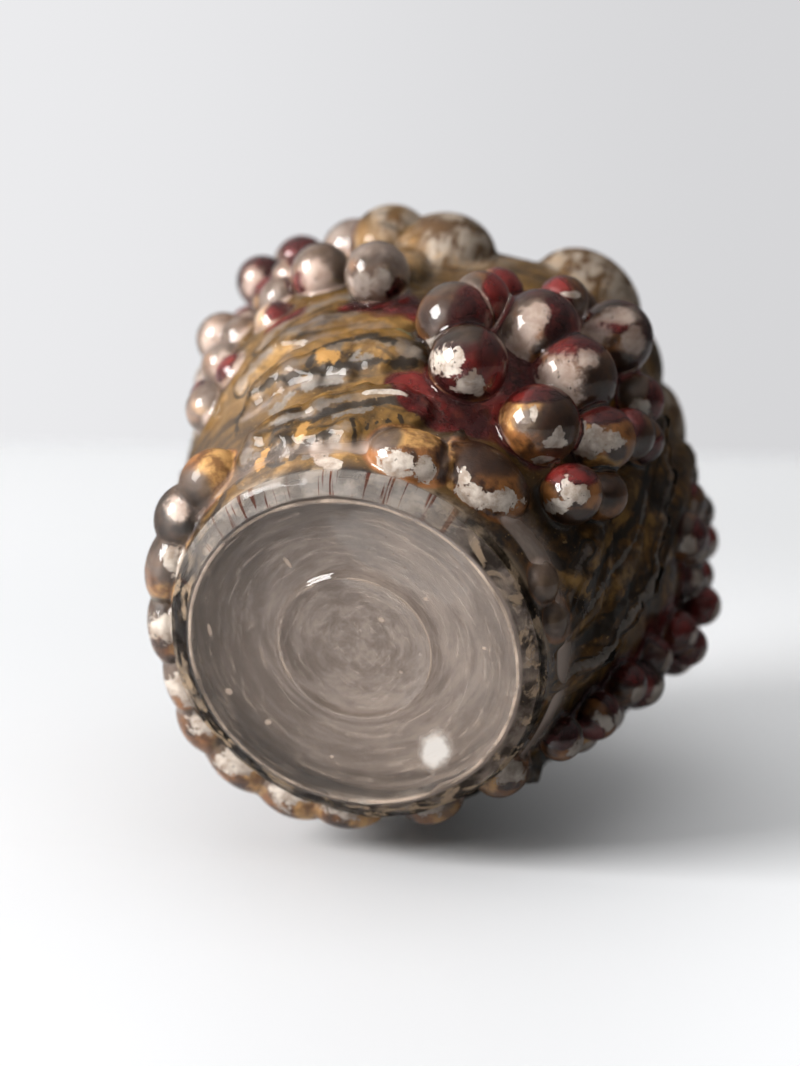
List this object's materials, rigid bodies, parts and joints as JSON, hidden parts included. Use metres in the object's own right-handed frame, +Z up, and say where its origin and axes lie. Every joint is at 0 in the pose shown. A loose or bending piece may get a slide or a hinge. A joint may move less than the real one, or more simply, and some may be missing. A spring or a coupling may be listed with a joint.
{
  "type": "grape relief glass vase",
  "caption": "Footed hollow glass vase with a swelling body, narrow neck and small flared rim, covered in high-relief grape bunches and leaves over gold and red films.",
  "frame": {"origin": "on the resting plane, under the middle of the base", "axes": "+Z up the vase's own axis, from the base to the mouth; the side with the sharpest relief in the picture faces between +X and -Y"},
  "size_m": [0.1123, 0.1116, 0.1394],
  "materials": {
    "glass": "clear moulded glass with a faint grey-lilac tint, polished by fire",
    "red_paint": "worn dark red paint film, seen through the glass",
    "gold_paint": "worn bronze-gold paint film with flakes missing"
  },
  "bodies": {
    "root": {"glass_body": "glass", "red_film_bunch_a": "red_paint", "red_film_bunch_b": "red_paint", "red_film_bunch_c": "red_paint", "red_film_bunch_d": "red_paint", "gold_film": "gold_paint"}
  },
  "joints": []
}
